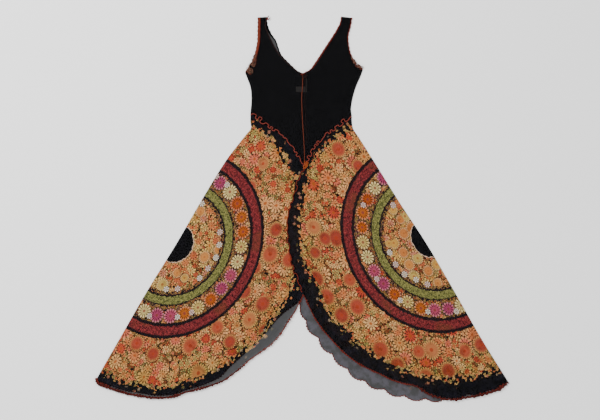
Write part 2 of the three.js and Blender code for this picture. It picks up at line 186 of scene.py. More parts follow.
def make_object(name, points, faces, material, uvs=None):
    """A mesh from points in millimetres; uvs is one pair for each point."""
    pts = np.asarray(points, float).reshape(-1, 3).copy()
    pts[:, 0] += SHIFT[0]
    pts[:, 1] += SHIFT[1]
    pts *= 0.001
    mesh = bpy.data.meshes.new(name)
    mesh.from_pydata(pts.tolist(), [], faces if isinstance(faces, list) else faces.tolist())
    if uvs is not None:
        layer = mesh.uv_layers.new(name="cut")
        loops = np.empty(len(mesh.loops), np.int32)
        mesh.loops.foreach_get("vertex_index", loops)
        layer.data.foreach_set("uv", np.asarray(uvs, float).reshape(-1, 2)[loops].ravel())
    mesh.polygons.foreach_set("use_smooth", [True] * len(mesh.polygons))
    mesh.update()
    mesh.validate()
    mesh.materials.append(material)
    obj = bpy.data.objects.new(name, mesh)
    bpy.context.scene.collection.objects.link(obj)
    return obj


def grid_faces(rows, cols, closed=False, base=0):
    r, c = np.meshgrid(np.arange(rows - 1), np.arange(cols if closed else cols - 1), indexing="ij")
    n = (c + 1) % cols
    quads = np.stack([r * cols + c, (r + 1) * cols + c, (r + 1) * cols + n, r * cols + n], axis=-1)
    return quads.reshape(-1, 4) + base


def sweep(path, across, thick, sides=8):
    """A closed band with an oval section along a path; across and thick may vary along it."""
    path = np.asarray(path, float)
    n = len(path)
    across = np.broadcast_to(np.asarray(across, float), (n,))
    thick = np.broadcast_to(np.asarray(thick, float), (n,))
    d = np.gradient(path, axis=0)
    d /= np.linalg.norm(d, axis=1)[:, None] + 1e-9
    side = np.cross(d, [0, 0, 1.0])
    side /= np.linalg.norm(side, axis=1)[:, None] + 1e-9
    up = np.cross(side, d)
    a = np.linspace(0, 2 * math.pi, sides, endpoint=False)
    rings = (path[:, None] + side[:, None] * (np.cos(a)[None, :, None] * across[:, None, None] / 2)
             + up[:, None] * (np.sin(a)[None, :, None] * thick[:, None, None] / 2))
    run = run_along(path)
    uv = np.stack(np.broadcast_arrays(run[:, None] * 0.001, (a / (2 * math.pi))[None, :]), axis=-1)
    faces = grid_faces(n, sides, closed=True)
    return rings.reshape(-1, 3), faces, uv.reshape(-1, 2), n, sides


def face_outwards(obj):
    shell = bmesh.new()
    shell.from_mesh(obj.data)
    bmesh.ops.recalc_face_normals(shell, faces=shell.faces)
    shell.to_mesh(obj.data)
    shell.free()
    return obj


def band_object(name, parts, material):
    """One mesh from several swept bands, each capped at its ends."""
    pts, faces, uvs, base = [], [], [], 0
    for ring_pts, quads, uv, n, sides in parts:
        pts.append(ring_pts)
        uvs.append(uv)
        faces += (quads[:, ::-1] + base).tolist()
        faces.append([base + k for k in range(sides)])
        faces.append([base + (n - 1) * sides + k for k in range(sides)][::-1])
        base += n * sides
    return face_outwards(make_object(name, np.vstack(pts), faces, material, np.vstack(uvs)))


# Shader helpers

def set_values(node, values):
    for label, value in values.items():
        node.inputs[label].default_value = value


class Net:
    """Short calls that add and join shader nodes."""

    def __init__(self, tree):
        self.tree = tree

    def add(self, kind, **values):
        node = self.tree.nodes.new(kind)
        for key, value in values.items():
            setattr(node, key, value)
        return node

    def put(self, socket, value):
        if isinstance(value, bpy.types.NodeSocket):
            self.tree.links.new(value, socket)
        elif value is not None:
            socket.default_value = value

    def math(self, op, a, b=None, c=None):
        node = self.add("ShaderNodeMath", operation=op)
        for socket, value in zip(node.inputs, (a, b, c)):
            self.put(socket, value)
        return node.outputs[0]

    def plus(self, a, b):
        return self.math("ADD", a, b)

    def minus(self, a, b):
        return self.math("SUBTRACT", a, b)

    def times(self, a, b):
        return self.math("MULTIPLY", a, b)

    def over(self, a, b):
        return self.math("DIVIDE", a, b)

    def scaled(self, value, by, start):
        return self.math("MULTIPLY_ADD", value, by, start)

    def stray(self, value, random, amount):
        """The value moved up or down, by at most half the amount."""
        return self.scaled(self.minus(random, 0.5), amount, value)

    def apart(self, a, b):
        return self.math("ABSOLUTE", self.minus(a, b))

    def distance(self, x, y):
        return self.math("SQRT", self.plus(self.times(x, x), self.times(y, y)))

    def vec(self, op, a, b=None, scale=None):
        node = self.add("ShaderNodeVectorMath", operation=op)
        self.put(node.inputs[0], a)
        self.put(node.inputs[1], b)
        if scale is not None:
            self.put(node.inputs["Scale"], scale)
        return node.outputs["Vector"]

    def push(self, place, random, amount):
        """The place moved in a random direction, by at most half the amount each way."""
        return self.vec("ADD", place, self.vec("SCALE", self.vec("SUBTRACT", random, (0.5, 0.5, 0.5)), scale=amount))

    def step(self, value, low, high):
        """0 below low, 1 above high, smooth between; low may be above high."""
        node = self.add("ShaderNodeMapRange", interpolation_type="SMOOTHSTEP", clamp=True)
        self.put(node.inputs["Value"], value)
        self.put(node.inputs["From Min"], low)
        self.put(node.inputs["From Max"], high)
        return node.outputs["Result"]

    def mix(self, share, a, b, blend="MIX"):
        node = self.add("ShaderNodeMix", data_type="RGBA", blend_type=blend, clamp_factor=True)
        self.put(node.inputs["Factor"], share)
        self.put(node.inputs[6], a if isinstance(a, bpy.types.NodeSocket) else (*a, 1.0))
        self.put(node.inputs[7], b if isinstance(b, bpy.types.NodeSocket) else (*b, 1.0))
        return node.outputs[2]

    def split(self, vector):
        node = self.add("ShaderNodeSeparateXYZ")
        self.put(node.inputs[0], vector)
        return node.outputs[0], node.outputs[1], node.outputs[2]

    def join(self, x, y, z=0.0):
        node = self.add("ShaderNodeCombineXYZ")
        for socket, value in zip(node.inputs, (x, y, z)):
            self.put(socket, value)
        return node.outputs[0]

    def ramp(self, value, colours):
        """Evenly spaced colour steps."""
        node = self.add("ShaderNodeValToRGB")
        ramp = node.color_ramp
        ramp.interpolation = "CONSTANT"
        while len(ramp.elements) < len(colours):
            ramp.elements.new(1.0)
        for i, c in enumerate(colours):
            ramp.elements[i].position = i / len(colours)
            ramp.elements[i].color = (*c, 1.0)
        self.put(node.inputs[0], value)
        return node.outputs[0]

    def noise(self, vector, scale, detail=2.0, rough=0.5):
        node = self.add("ShaderNodeTexNoise", noise_dimensions="3D")
        self.put(node.inputs["Vector"], vector)
        set_values(node, {"Scale": scale, "Detail": detail, "Roughness": rough})
        return node.outputs["Fac"], node.outputs["Color"]


def colour(r, g, b):
    """A display colour from 0 to 255 as the linear values that shaders take."""
    return tuple(((c / 255) / 12.92 if c <= 10 else (((c / 255) + 0.055) / 1.055) ** 2.4) for c in (r, g, b))


def new_material(name):
    mat = bpy.data.materials.new(name)
    mat.use_nodes = True
    net = Net(mat.node_tree)
    shader = mat.node_tree.nodes["Principled BSDF"]
    return mat, net, shader


KNIT_PITCH = 0.0019


def knit(net, vector):
    """Fine knitted net: rows of small loops about 1.3 mm apart, from 0 in a gap to 1 on a thread."""
    x, y, _ = net.split(vector)
    a = net.math("SINE", net.times(net.plus(x, y), 2 * math.pi / KNIT_PITCH))
    b = net.math("SINE", net.times(net.minus(x, y), 2 * math.pi / KNIT_PITCH))
    return net.scaled(net.times(a, b), 0.5, 0.5)


def new_group(name, inputs, outputs):
    tree = bpy.data.node_groups.new(name, "ShaderNodeTree")
    for label in inputs:
        kind = "NodeSocketVector" if label == "Vector" else "NodeSocketFloat"
        tree.interface.new_socket(label, in_out="INPUT", socket_type=kind)
    for label in outputs:
        tree.interface.new_socket(label, in_out="OUTPUT", socket_type="NodeSocketFloat")
    net = Net(tree)
    return tree, net, net.add("NodeGroupInput").outputs, net.add("NodeGroupOutput").inputs


PARTS_OF_FLOWER = ("Mask", "Halo", "Shade", "Tip", "Heart")


def flower_group():
    """One flower by its distance from the centre and its angle: two rows of petals, pale tips, a heart."""
    tree, net, inp, out = new_group("flower", ("Ratio", "Turn", "Petals", "Random"), PARTS_OF_FLOWER)
    ratio = inp["Ratio"]
    phase = net.scaled(net.times(inp["Turn"], inp["Petals"]), 0.5 / math.pi, inp["Random"])

    def off_axis(value):
        """0 on a petal's middle line, 1 between two petals."""
        return net.times(net.apart(net.math("FRACT", value), 0.5), 2.0)

    outer, inner = off_axis(phase), off_axis(net.plus(phase, 0.5))
    rim = net.scaled(net.times(outer, outer), -0.34, 1.0)
    from_rim = net.minus(ratio, rim)
    gap = net.times(net.step(outer, 0.5, 0.88), net.step(ratio, 0.16, 0.4))
    row = net.scaled(net.times(inner, inner), -0.16, 0.64)
    line = net.step(net.apart(ratio, row), 0.09, 0.02)
    shade = net.times(net.scaled(gap, -0.9, 1.0), net.scaled(line, -0.5, 1.0))
    shade = net.times(shade, net.scaled(ratio, 0.35, 0.65))
    net.put(out["Mask"], net.step(from_rim, 0.04, -0.04))
    net.put(out["Halo"], net.step(from_rim, 0.26, 0.06))
    net.put(out["Shade"], shade)
    net.put(out["Tip"], net.step(from_rim, -0.24, -0.08))
    net.put(out["Heart"], net.step(ratio, 0.25, 0.16))
    return tree


FLOWER = flower_group()


def flower(net, ratio, turn, petals, rand):
    node = net.add("ShaderNodeGroup", node_tree=FLOWER)
    for label, value in (("Ratio", ratio), ("Turn", turn), ("Petals", petals), ("Random", rand)):
        net.put(node.inputs[label], value)
    return [node.outputs[label] for label in PARTS_OF_FLOWER]


def blossom_group():
    """Scattered flowers: one in each cell, each with its own size, turn and tone."""
    tree, net, inp, out = new_group("blossoms", ("Vector", "Scale", "Size", "Share", "Petals"),
                                    PARTS_OF_FLOWER + ("Tone",))
    cells = net.add("ShaderNodeTexVoronoi", voronoi_dimensions="2D", feature="F1")
    net.put(cells.inputs["Vector"], inp["Vector"])
    net.put(cells.inputs["Scale"], inp["Scale"])
    set_values(cells, {"Randomness": 0.8})
    x, y, _ = net.split(net.vec("SUBTRACT", inp["Vector"], cells.outputs["Position"]))
    away = net.distance(x, y)
    rand, lot, tone = net.split(cells.outputs["Color"])
    size = net.times(inp["Size"], net.scaled(rand, 0.4, 0.75))
    parts = flower(net, net.over(away, size), net.math("ARCTAN2", y, x), inp["Petals"], rand)
    shown = net.math("LESS_THAN", lot, inp["Share"])
    for label, part in zip(PARTS_OF_FLOWER, parts):
        net.put(out[label], net.times(part, shown) if label in ("Mask", "Halo") else part)
    net.put(out["Tone"], tone)
    return tree


BLOSSOMS = blossom_group()


def blossoms(net, vector, shift, per_metre, size, share, petals):
    """Scattered flowers of one kind; shift moves them, so that no two kinds share their cells."""
    node = net.add("ShaderNodeGroup", node_tree=BLOSSOMS)
    net.put(node.inputs["Vector"], net.vec("ADD", vector, (shift, shift * 0.61, 0.0)))
    set_values(node, {"Scale": per_metre, "Size": size, "Share": share, "Petals": petals})
    return [node.outputs[label] for label in PARTS_OF_FLOWER + ("Tone",)]


def ring_flowers(net, radius, turn, ring, count, size, petals, seed, share=1.0, offset=0.0, stray=0.006):
    """Flowers set evenly round a ring, each with its own random number."""
    step = 2 * math.pi / count
    from_start = net.minus(turn, offset)
    place = net.math("ROUND", net.over(from_start, step))
    white = net.add("ShaderNodeTexWhiteNoise", noise_dimensions="2D")
    net.put(white.inputs["Vector"], net.join(net.math("WRAP", place, float(count), 0.0), seed))
    rand = white.outputs["Value"]
    arc = net.times(net.minus(from_start, net.times(place, step)), radius)
    out = net.minus(radius, net.scaled(rand, stray, ring - stray / 2))
    away = net.distance(arc, out)
    ratio = net.over(away, net.scaled(rand, size * 0.16, size * 0.88))
    count_of = net.plus(net.math("ROUND", net.times(rand, 4.0)), float(petals))
    mask, halo, shade, tip, heart_of = flower(net, ratio, net.math("ARCTAN2", out, arc), count_of, rand)
    shown = net.math("LESS_THAN", rand, share)
    tone = net.math("FRACT", net.scaled(place, 0.618, seed))
    return [net.times(mask, shown), net.times(halo, shown), shade, tip, heart_of, tone]


def lay(net, under, spot, palette, heart, tips, tip_share=0.45, depth=1.0):
    """Paints one layer of flowers over a colour; depth is how dark the gaps between petals are."""
    mask, halo, shade, tip, heart_of, tone = spot
    under = net.mix(net.times(halo, 0.8), under, (0.003, 0.002, 0.0015))
    shade = net.scaled(shade, depth, 1 - depth)
    petals = net.mix(net.times(tip, tip_share), net.ramp(tone, palette), tips)
    petals = net.mix(shade, (0.004, 0.002, 0.0015), petals)
    return net.mix(mask, under, net.mix(net.times(heart_of, 0.85), petals, heart))


# Materials

ALPHA = 0.79
INK = (0.0018, 0.0018, 0.0022)
SHEEN = (0.0065, 0.006, 0.0095)
# The inside's pale tone is painted light, for light coming through a single layer; the dark tone is the cloth's own
INSIDE_DARK, INSIDE_PAINTED_LIGHT = (0.003, 0.003, 0.004), (0.036, 0.032, 0.046)


def ink(r, g, b):
    """A print colour as it looks on the net, scaled for the studio's light."""
    return tuple(0.6 * c for c in colour(r, g, b))


def raise_surface(net, shader, height, strength, distance):
    bump = net.add("ShaderNodeBump")
    set_values(bump, {"Strength": strength, "Distance": distance})
    net.put(bump.inputs["Height"], height)
    net.put(shader.inputs["Normal"], bump.outputs[0])


def finish_mesh(net, shader, thread):
    """Matt sheer cloth with a fine knit, which lets a little light through."""
    raise_surface(net, shader, thread, 0.25, 0.0004)
    set_values(shader, {"Roughness": 0.9, "Specular IOR Level": 0.02, "Alpha": ALPHA})


def black_mesh_material():
    mat, net, shader = new_material("black_mesh")
    co = net.add("ShaderNodeTexCoord").outputs["Object"]
    thread = knit(net, co)
    cloud, _ = net.noise(co, 22.0, 3.0)
    base = net.mix(cloud, (0.0012, 0.0012, 0.0015), (0.0026, 0.0026, 0.0032))
    base = net.mix(net.times(thread, 0.35), base, (0.004, 0.004, 0.005))
    net.put(shader.inputs["Base Color"], base)
    finish_mesh(net, shader, thread)
    return mat


def inks(*rows, gain=1.0):
    return [tuple(gain * c for c in ink(*row)) for row in rows]


# Print colours as they look on the cloth, from 0 to 255
AMBER = inks((250, 146, 90), (258, 182, 118), (226, 94, 60), (244, 168, 96), (250, 132, 98), (260, 198, 130),
             (216, 82, 56), (250, 152, 94), gain=1.4)
KHAKI = inks((236, 158, 92), (250, 184, 112), (140, 122, 72), (246, 138, 82), (200, 168, 100), (214, 98, 64), gain=1.4)
DUN = [tuple(0.42 * c for c in tone) for tone in KHAKI]
CORAL = inks((218, 92, 66), (198, 80, 58), (224, 104, 70), (236, 144, 88), (204, 84, 62))
BUFF = inks((246, 184, 96), (240, 144, 86), (234, 152, 116), (248, 198, 116), (232, 124, 78), gain=1.42)
RING_FLOWERS = inks((226, 92, 126), (230, 112, 30), (266, 234, 150), (232, 122, 40), (208, 80, 122), (258, 218, 124),
                    (218, 98, 34), gain=1.14)
TINY = inks((196, 122, 62), (140, 76, 96), (214, 164, 92), (104, 52, 60), (160, 132, 72), (206, 96, 52))
WHITE = inks((288, 262, 236), (280, 236, 222), (290, 272, 248))
BUD = inks((206, 118, 96), (220, 160, 98), (150, 138, 74), (190, 104, 100), (170, 146, 130))
GOLD = inks((246, 184, 86), (246, 160, 82), (238, 198, 104), (240, 146, 74), gain=1.2)
STRAW = ink(264, 220, 124)
PALE_STRAW = ink(262, 224, 168)
PEACH = ink(252, 196, 122)
RUSSET = ink(190, 92, 34)

# Rings of the print, in metres from the medallion's middle, which is a little narrower across
OVAL = 0.845
DISC, DISC_LINE = 0.0685, 0.0715
DAISY_ROW, FLOWER_ROW, SMALL_ROW = 0.180, 0.2695, 0.286
GREEN_BORDER = (0.1925, 0.2375)
GREEN_RING = (0.199, 0.228)
FLOWER_RING = (0.238, 0.299)
RED_RING = (0.3105, 0.344)
FIELD_START, FIELD_END = 0.356, 0.524


def print_material(half):
    """Ring print on the same mesh, drawn on the cut cloth's own map so that it runs round the fold."""
    mat, net, shader = new_material("printed_mesh_" + half["name"])
    seed = half["seed"]
    u, v, _ = net.split(net.add("ShaderNodeUVMap", uv_map="cut").outputs[0])
    wobble, _ = net.noise(net.join(u, v, seed), 9.0, 3.0)
    x = net.over(u, OVAL)
    spot = net.vec("ADD", net.join(x, v), (seed, seed * 0.37, 0.0))
    radius = net.distance(x, v)
    turn = net.math("ARCTAN2", v, x)
    fine, fine_shift = net.noise(spot, 190.0, 2.0, 0.7)
    mottle, _ = net.noise(spot, 92.0, 2.0, 0.6)
    coarse, coarse_shift = net.noise(spot, 34.0, 3.0, 0.6)
    drift, _ = net.noise(spot, 8.0, 2.0, 0.5)
    near = net.stray(net.stray(radius, coarse, 0.008), mottle, 0.012)
    loose = net.push(net.push(spot, fine_shift, 0.005), coarse_shift, 0.018)

    def band(low, high, soft=0.0012):
        return net.times(net.step(near, low - soft, low + soft), net.step(near, high + soft, high - soft))

    def scatter(under, place, kind, *look):
        """One more layer of flowers; kind is shift, number per metre, size, share shown and petals."""
        return lay(net, under, blossoms(net, place, *kind), *look)

    # Dense field of flowers, from the smallest at the bottom to the largest on top
    ground = net.mix(net.step(mottle, 0.42, 0.6), INK, ink(150, 78, 42))
    field = scatter(ground, loose, (0.0, 120.0, 0.0048, 0.8, 5.0), DUN, RUSSET, STRAW, 0.12)
    field = scatter(field, loose, (1.7, 66.0, 0.0084, 0.75, 5.0), AMBER, RUSSET, STRAW, 0.7)
    field = scatter(field, loose, (2.9, 46.0, 0.0122, 0.6, 6.0), KHAKI, RUSSET, STRAW, 0.9)
    wide = scatter(field, loose, (4.3, 31.0, 0.0185, 0.6, 8.0), AMBER, RUSSET, PEACH, 0.7)
    wide = scatter(wide, loose, (6.1, 17.0, 0.0300, 0.5, 11.0), AMBER, RUSSET, PEACH, 0.8)
    wide = scatter(wide, spot, (7.3, 11.5, 0.0350, 0.5, 21.0), CORAL, ink(190, 70, 40), STRAW, 0.5, 0.5)
    close = scatter(field, loose, (7.9, 29.0, 0.0195, 0.8, 8.0), BUFF, RUSSET, STRAW, 0.7)
    close = scatter(close, spot, (12.3, 20.0, 0.0225, 0.5, 17.0), GOLD, ink(200, 120, 60), PALE_STRAW, 0.6, 0.6)

    # Darker drifts between the flowers
    shadow = net.times(net.step(coarse, 0.5, 0.34), 0.5)
    wide, close = [net.mix(shadow, kind, (0.42, 0.36, 0.34), "MULTIPLY") for kind in (wide, close)]

    # From the middle outwards
    dark = net.mix(fine, (0.0016, 0.0012, 0.0016), (0.016, 0.009, 0.011))
    teeth = scatter(dark, spot, (9.4, 210.0, 0.0030, 0.7, 4.0), TINY, STRAW, STRAW, 0.4)
    print_ = net.mix(net.step(near, DISC_LINE + 0.001, DISC_LINE - 0.001), close, ink(262, 226, 196))
    print_ = net.mix(net.step(near, DISC_LINE - 0.0015, DISC), print_, INK)
    print_ = net.mix(band(DAISY_ROW, GREEN_RING[0]), print_, teeth)
    daisies = ring_flowers(net, radius, turn, DAISY_ROW, 23, 0.0130, 6, seed + 0.5, 0.5, 0.11, 0.02)
    print_ = lay(net, print_, daisies, WHITE, ink(196, 160, 90), ink(268, 250, 232))
    print_ = net.mix(band(*GREEN_BORDER), print_, dark)
    grain = net.times(net.plus(fine, mottle), 0.5)
    moss = net.mix(net.step(grain, 0.36, 0.62), ink(66, 72, 30), ink(160, 156, 84))
    moss = net.mix(net.times(net.step(fine, 0.52, 0.66), 0.5), moss, ink(196, 182, 118))
    print_ = net.mix(band(*GREEN_RING), print_, moss)
    print_ = net.mix(band(0.232, FLOWER_RING[1] + 0.002), print_, teeth)
    thicket = scatter(teeth, loose, (3.7, 110.0, 0.0054, 0.8, 6.0), TINY, RUSSET, STRAW, 0.5)
    thicket = scatter(thicket, loose, (10.9, 46.0, 0.0108, 0.3, 8.0), AMBER, RUSSET, STRAW, 0.6)
    print_ = net.mix(band(*FLOWER_RING), print_, thicket)
    row = ring_flowers(net, radius, turn, FLOWER_ROW, 30, 0.0284, 11, seed, 1.0)
    print_ = lay(net, print_, row, RING_FLOWERS, ink(150, 70, 60), ink(250, 214, 190), 0.35)
    small = ring_flowers(net, radius, turn, SMALL_ROW, 30, 0.0122, 6, seed + 1.5, 0.42, math.pi / 30, 0.02)
    print_ = lay(net, print_, small, WHITE, ink(140, 70, 80), ink(268, 250, 232))
    print_ = net.mix(band(FLOWER_RING[1], FIELD_START), print_, dark)
    velvet = net.mix(net.step(grain, 0.34, 0.66), ink(58, 14, 22), ink(178, 68, 68))
    velvet = net.mix(net.times(net.step(fine, 0.5, 0.36), 0.5), velvet, ink(40, 16, 18))
    velvet = net.mix(net.times(net.step(drift, 0.5, 0.62), 0.45), velvet, ink(124, 74, 44))
    print_ = net.mix(band(*RED_RING, 0.002), print_, velvet)
    lace = net.times(net.step(radius, 0.43, 0.52), net.step(drift, 0.42, 0.56))
    wide = net.mix(net.times(lace, 0.7), wide, (0.72, 0.95, 0.62), "MULTIPLY")
    print_ = net.mix(net.step(near, FIELD_START - 0.0015, FIELD_START + 0.0015), print_, wide)

    # Ragged outer edge, then black with loose buds
    cloudy = net.mix(net.step(coarse, 0.4, 0.72), INK, SHEEN)
    edge = net.scaled(net.over(v, radius), -half["sag"], radius)
    edge = net.stray(edge, wobble, 0.05)
    edge = net.stray(edge, coarse, 0.05)
    dip_turn, dip_depth = half["dip"]
    dip = net.step(net.apart(turn, dip_turn), 0.36, 0.06)
    edge = net.scaled(dip, dip_depth, edge)
    margin = scatter(net.mix(fine, INK, (0.004, 0.004, 0.005)), spot, (5.5, 58.0, 0.0066, 0.26, 5.0),
                     BUD, ink(230, 190, 130), STRAW)
    margin = net.mix(net.step(edge, FIELD_END + 0.026, FIELD_END + 0.014), cloudy, margin)
    sprigs = scatter(margin, spot, (8.8, 92.0, 0.0064, 0.62, 5.0), KHAKI, RUSSET, STRAW, 0.7)
    print_ = net.mix(net.step(edge, FIELD_END - 0.012, FIELD_END - 0.009), print_, sprigs)
    print_ = net.mix(net.step(edge, FIELD_END + 0.004, FIELD_END + 0.007), print_, margin)

    # The knit shows as a fine dark grain, and the inside is a mottled dark grey: the cloth's own dark with paler
    # patches of painted light and shade, for light through one layer and its soft folds
    thread = knit(net, net.join(u, v))
    print_ = net.mix(net.scaled(thread, -0.25, 0.25), print_, cloudy)
    inside = net.add("ShaderNodeNewGeometry").outputs["Backfacing"]
    # Painted light and shade: paler and darker mottles on the inside stand in for light through one layer and its folds
    inside_painted_light = net.mix(net.step(coarse, 0.38, 0.62), INSIDE_DARK, INSIDE_PAINTED_LIGHT)
    net.put(shader.inputs["Base Color"], net.mix(net.times(inside, 0.85), print_, inside_painted_light))
    finish_mesh(net, shader, thread)
    return mat


def thread_material(name, dark, light, pitch=0.0013):
    """Close overlock stitches across a band: fine ridges along its length."""
    mat, net, shader = new_material(name)
    u, v, _ = net.split(net.add("ShaderNodeUVMap", uv_map="cut").outputs[0])
    slant = net.scaled(v, 0.0016, u)
    ridge = net.scaled(net.math("SINE", net.times(slant, 2 * math.pi / pitch)), 0.5, 0.5)
    patch, _ = net.noise(net.join(u, v, 0.3), 90.0, 2.0)
    mixed = net.mix(net.times(ridge, 0.75), dark, light)
    mixed = net.mix(net.times(net.step(patch, 0.42, 0.62), 0.5), mixed, dark)
    net.put(shader.inputs["Base Color"], mixed)
    raise_surface(net, shader, ridge, 0.6, 0.0005)
    set_values(shader, {"Roughness": 0.75, "Specular IOR Level": 0.1})
    return mat


def label_material(name, dark, light):
    mat, net, shader = new_material(name)
    co = net.add("ShaderNodeTexCoord").outputs["Object"]
    x, y, _ = net.split(co)
    weft = net.scaled(net.math("SINE", net.times(y, 2 * math.pi / 0.0009)), 0.5, 0.5)
    cloud, _ = net.noise(co, 60.0)
    net.put(shader.inputs["Base Color"], net.mix(net.times(net.plus(weft, cloud), 0.5), dark, light))
    raise_surface(net, shader, weft, 0.3, 0.0002)
    set_values(shader, {"Roughness": 0.55})
    return mat


BLACK = black_mesh_material()
RUST = thread_material("rust_thread", ink(76, 20, 16), ink(178, 62, 40))
BRICK = thread_material("brick_thread", ink(84, 28, 20), ink(196, 96, 62))
ROSE = thread_material("rose_thread", ink(86, 26, 24), ink(204, 96, 78))
UMBER = thread_material("umber_thread", ink(44, 18, 16), ink(150, 78, 62))
ORANGE = thread_material("orange_thread", ink(150, 60, 24), ink(226, 120, 60))
FRILL = thread_material("frill_thread", ink(22, 8, 8), ink(138, 42, 30), 0.0052)
STRAW_THREAD = thread_material("straw_thread", ink(52, 22, 20), ink(196, 150, 122), 0.0034)
DUSK = thread_material("dusk_thread", ink(14, 10, 10), ink(64, 30, 26))
DARK_LABEL = label_material("dark_label", (0.004, 0.004, 0.005), (0.010, 0.010, 0.011))
PALE_LABEL = label_material("pale_label", (0.17, 0.155, 0.14), (0.27, 0.25, 0.23))


# Wavy edges

def drifting(shares, pace, seed, level):
    """Smooth noise along a line; level keeps one use apart from the next."""
    return np.array([noise.noise((x * pace, seed, level)) for x in shares])


def wave(shares, count, seed, uneven=0.35):
    """Uneven waves along an edge: a sideways beat from -1 to 1 and a rise from 0 to 1."""
    s = np.asarray(shares)
    drift = drifting(s, 9.0, seed, 0.0) * uneven
    size = drifting(s, 21.0, seed, 5.0) * 0.6 + 0.85
    phase = 2 * math.pi * (s * count + drift)
    return np.sin(phase) * size, (0.5 - 0.5 * np.cos(phase + 0.9)) * np.clip(size, 0.4, 1.4)


def fade_ends(shares, width=0.03):
    return ease(np.minimum(shares, 1 - np.asarray(shares)) / width)


# Bodice

def bodice(half, layer, rows=(46, 40), cols=64):
    s = half["sign"]
    arm = smooth_line(half["armhole"])
    arm = arm + sideways(arm) * (-s * ARMHOLE_BACK)
    side = smooth_line(half["side"])
    neck = smooth_line(half["neck_" + layer])
    neck = neck + sideways(neck) * (s * NECK_BACK)
    seam = smooth_line(BODICE_SEAM)
    v1, v2 = np.linspace(0, 1, rows[0]), np.linspace(0, 1, rows[1] + 1)[1:]
    outer = np.vstack([resample(arm, v1), resample(side, v2)])
    inner = np.vstack([resample(neck, v1), resample(seam, v2)])
    inner[rows[0] - 1] = (BODICE_SEAM[0][0], half["neck_" + layer][-1][1] - 4.0)
    waist = resample(smooth_line(half["waist"]), np.linspace(0, 1, 60))
    waist[0], waist[-1] = outer[-1], inner[-1]
    top = np.array([outer[0], inner[0]])
    grid = fill_grid(top, waist, outer, inner, np.linspace(0, 1, cols), np.linspace(0, 1, len(outer)))
    if layer == "front":
        z = FRONT_Z + crease_height(grid) + 0.5 * (1 + soft_noise(grid, 34.0, 2.0)) * 0.9
        z += 0.9 * np.maximum(0, soft_noise(grid * np.array([1.0, 0.35]), 16.0, 6.0))
    else:
        z = BACK_Z + 0.18 * soft_noise(grid, 30.0, 9.0)
    pts = np.dstack([grid, z])
    turned = 1 if (layer == "front") == (s < 0) else -1
    obj = make_object(f"{layer}_bodice_{half['name']}_cloth", pts, grid_faces(*pts.shape[:2])[:, ::turned],
                      BLACK, uvs=grid * 0.001)
    return obj, pts, rows[0]


# Skirt

SKIRT_V = np.concatenate([np.linspace(0, 0.12, 16)[:-1], np.linspace(0.12, 0.92, 56)[:-1], np.linspace(0.92, 1, 18)])


